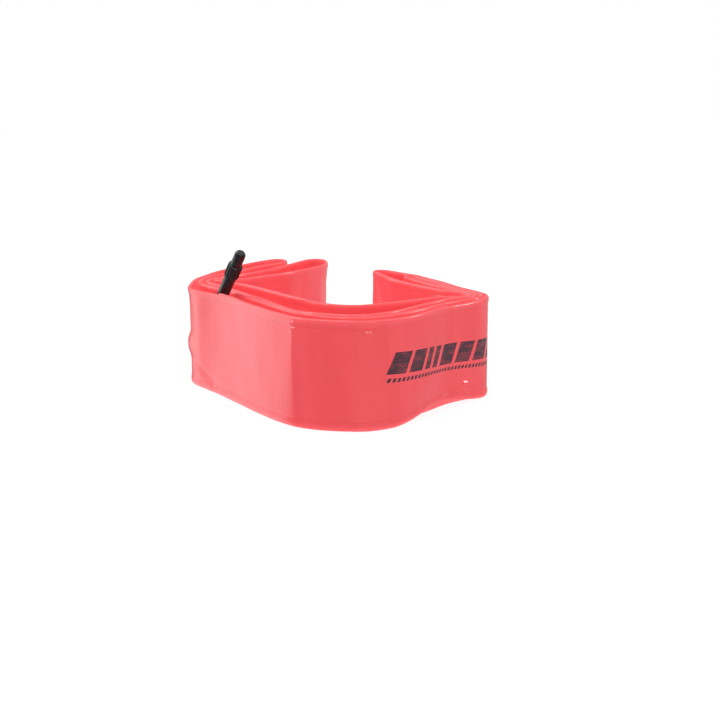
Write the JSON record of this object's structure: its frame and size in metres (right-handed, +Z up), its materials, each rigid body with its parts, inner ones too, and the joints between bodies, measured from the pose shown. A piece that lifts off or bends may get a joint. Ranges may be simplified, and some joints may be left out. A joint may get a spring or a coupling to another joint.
{
  "type": "bicycle inner tube",
  "caption": "Folded film inner tube standing on its edge, with an oval valve foot, a smooth needle valve stem, a screw-down lock nut and a ribbed dust cap.",
  "frame": {"origin": "centre of the bottom of the bounding box, on the surface the tube stands on", "axes": "+Z up across the flat width of the tubing, -Y towards the printed front panel, +X to the right seen from the front"},
  "size_m": [0.1546, 0.246, 0.0728],
  "materials": {
    "red_film": "glossy, slightly see-through film",
    "patch_film": "glossy film, a lighter tone",
    "black_plastic": "smooth satin black",
    "brass": "machined",
    "seal_rubber": "matt"
  },
  "bodies": {
    "root": {"tube_front_panel": "red_film", "tube_second_panel": "red_film", "tube_third_panel": "red_film", "tube_inner_panel": "red_film", "valve_patch": "patch_film", "valve_foot": "red_film", "valve_stem": "black_plastic", "core_body": "brass", "core_gasket": "seal_rubber"},
    "right_leaf": {"tube_right_outer_fold": "red_film", "tube_right_inner_fold": "red_film"},
    "left_back_leaf": {"tube_left_back_fold": "red_film"},
    "left_front_leaf": {"tube_left_front_fold": "red_film"},
    "cap": {"valve_cap": "black_plastic"},
    "pin": {"core_pin": "brass", "pin_seal": "seal_rubber"},
    "nut": {"lock_nut": "brass"}
  },
  "joints": [
    {"name": "right_fold", "type": "hinge", "parent": "root", "child": "right_leaf", "pos_m": [0.07729, -0.0374, 0.025], "axis": [0, 0, -1], "range_deg": [0, 60]},
    {"name": "left_back_fold", "type": "hinge", "parent": "root", "child": "left_back_leaf", "pos_m": [-0.07614, 0.02524, 0.025], "axis": [0, 0, 1], "range_deg": [0, 60]},
    {"name": "left_front_fold", "type": "hinge", "parent": "root", "child": "left_front_leaf", "pos_m": [-0.06383, 0.0248, 0.025], "axis": [0, 0, -1], "range_deg": [0, 20]},
    {"name": "cap_off", "type": "slide", "parent": "root", "child": "cap", "axis": [0.3546, -0.5675, 0.7431], "range_m": [0, 0.03]},
    {"name": "pin_press", "type": "slide", "parent": "root", "child": "pin", "axis": [0.3546, -0.5675, 0.7431], "range_m": [-0.0016, 0]},
    {"name": "nut_screw", "type": "slide", "parent": "pin", "child": "nut", "axis": [0.3546, -0.5675, 0.7431], "range_m": [-0.0017, 0]}
  ]
}
